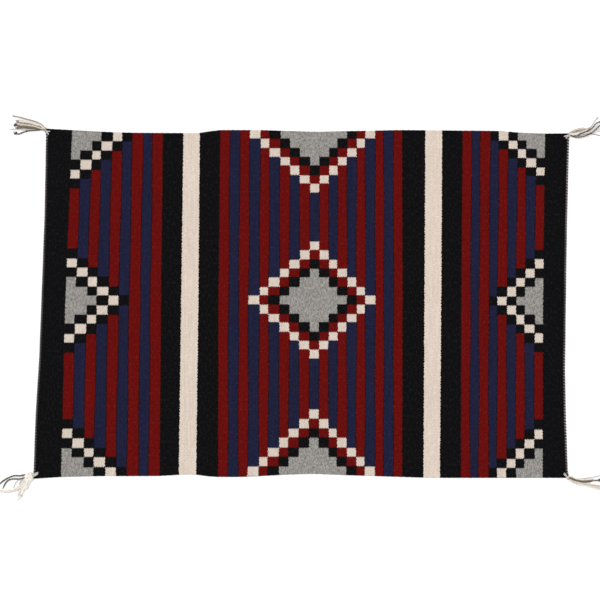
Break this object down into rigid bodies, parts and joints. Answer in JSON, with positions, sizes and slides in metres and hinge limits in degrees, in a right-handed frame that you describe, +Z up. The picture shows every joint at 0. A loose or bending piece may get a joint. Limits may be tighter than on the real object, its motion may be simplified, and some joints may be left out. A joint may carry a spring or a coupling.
{
  "type": "chief blanket",
  "caption": "Handwoven striped wool blanket with stepped diamonds, twined end cords and a tied yarn tassel at each corner, laid flat.",
  "frame": {"origin": "on the underside, in the middle of the cloth's modelled depth and close to the middle of its width", "axes": "+X along the long side, across the woven stripes; +Y along the stripes; +Z up from the surface it lies on"},
  "size_m": [1.3357, 0.844, 0.0088],
  "materials": {
    "blanket_wool": "matt weft-faced wool weave in black, cream, grey, red and blue",
    "edge_cord_yarn": "matt twined wool cord, one dark and one grey yarn",
    "tassel_yarn": "matt twisted wool yarn in cream, pale grey and dark brown"
  },
  "bodies": {
    "root": {"blanket": "blanket_wool", "edge_cord_left": "edge_cord_yarn", "edge_cord_right": "edge_cord_yarn", "tassel_top_left": "tassel_yarn", "tassel_top_right": "tassel_yarn", "tassel_bottom_left": "tassel_yarn", "tassel_bottom_right": "tassel_yarn"}
  },
  "joints": []
}
